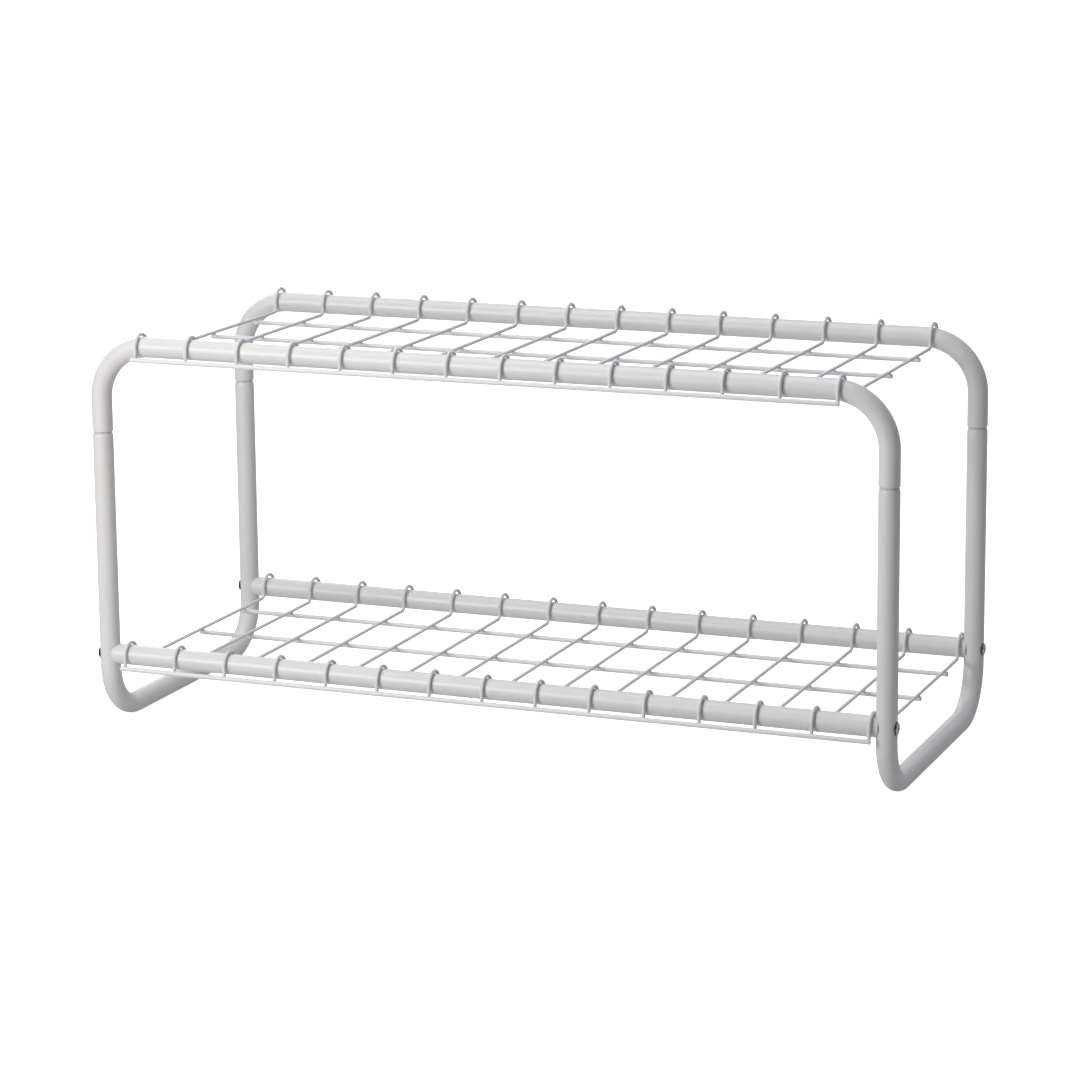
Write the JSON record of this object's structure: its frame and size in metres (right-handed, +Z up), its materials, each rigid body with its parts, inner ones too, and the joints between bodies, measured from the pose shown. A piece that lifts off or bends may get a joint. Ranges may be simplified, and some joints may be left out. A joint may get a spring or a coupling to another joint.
{
  "type": "shoe rack",
  "caption": "Free-standing two-tier shoe rack: bent steel tube frame with rounded corners and two wire shelves whose hooks sit over the tubes and lift off.",
  "frame": {"origin": "on the floor, under the middle of the rack", "axes": "+X along the rack to its right, +Y to the back, +Z up"},
  "size_m": [0.7764, 0.324, 0.3751],
  "materials": {
    "frame_coat": "smooth gloss powder coat in warm white on round steel tube",
    "wire_coat": "smooth gloss powder coat in white on steel wire, with soft fillets at the welds",
    "zinc_screw": "bright zinc plate, cross recess",
    "plain_steel": "plain turned steel inside the bar ends"
  },
  "bodies": {
    "root": {"left_side_frame": "frame_coat", "right_side_frame": "frame_coat", "front_top_arch": "frame_coat", "rear_top_arch": "frame_coat", "front_lower_bar": "frame_coat", "rear_lower_bar": "frame_coat", "front_left_screw": "zinc_screw", "front_right_screw": "zinc_screw", "rear_left_screw": "zinc_screw", "rear_right_screw": "zinc_screw", "front_left_insert": "plain_steel", "front_right_insert": "plain_steel", "rear_left_insert": "plain_steel", "rear_right_insert": "plain_steel"},
    "upper_shelf": {"upper_cross_wire_01": "wire_coat", "upper_cross_wire_02": "wire_coat", "upper_cross_wire_03": "wire_coat", "upper_cross_wire_04": "wire_coat", "upper_cross_wire_05": "wire_coat", "upper_cross_wire_06": "wire_coat", "upper_cross_wire_07": "wire_coat", "upper_cross_wire_08": "wire_coat", "upper_cross_wire_09": "wire_coat", "upper_cross_wire_10": "wire_coat", "upper_cross_wire_11": "wire_coat", "upper_cross_wire_12": "wire_coat", "upper_cross_wire_13": "wire_coat", "upper_cross_wire_14": "wire_coat", "upper_mid_wire_front": "wire_coat", "upper_mid_wire_centre": "wire_coat", "upper_mid_wire_rear": "wire_coat", "upper_front_stringer": "wire_coat", "upper_rear_stringer": "wire_coat"},
    "lower_shelf": {"lower_cross_wire_01": "wire_coat", "lower_cross_wire_02": "wire_coat", "lower_cross_wire_03": "wire_coat", "lower_cross_wire_04": "wire_coat", "lower_cross_wire_05": "wire_coat", "lower_cross_wire_06": "wire_coat", "lower_cross_wire_07": "wire_coat", "lower_cross_wire_08": "wire_coat", "lower_cross_wire_09": "wire_coat", "lower_cross_wire_10": "wire_coat", "lower_cross_wire_11": "wire_coat", "lower_cross_wire_12": "wire_coat", "lower_cross_wire_13": "wire_coat", "lower_cross_wire_14": "wire_coat", "lower_cross_wire_15": "wire_coat", "lower_mid_wire_front": "wire_coat", "lower_mid_wire_centre": "wire_coat", "lower_mid_wire_rear": "wire_coat", "lower_front_stringer": "wire_coat", "lower_rear_stringer": "wire_coat"}
  },
  "joints": [
    {"name": "upper_shelf_lift", "type": "slide", "parent": "root", "child": "upper_shelf", "axis": [0, 0, 1], "range_m": [0, 0.15]},
    {"name": "lower_shelf_lift", "type": "slide", "parent": "root", "child": "lower_shelf", "axis": [0, 0, 1], "range_m": [0, 0.12]}
  ]
}
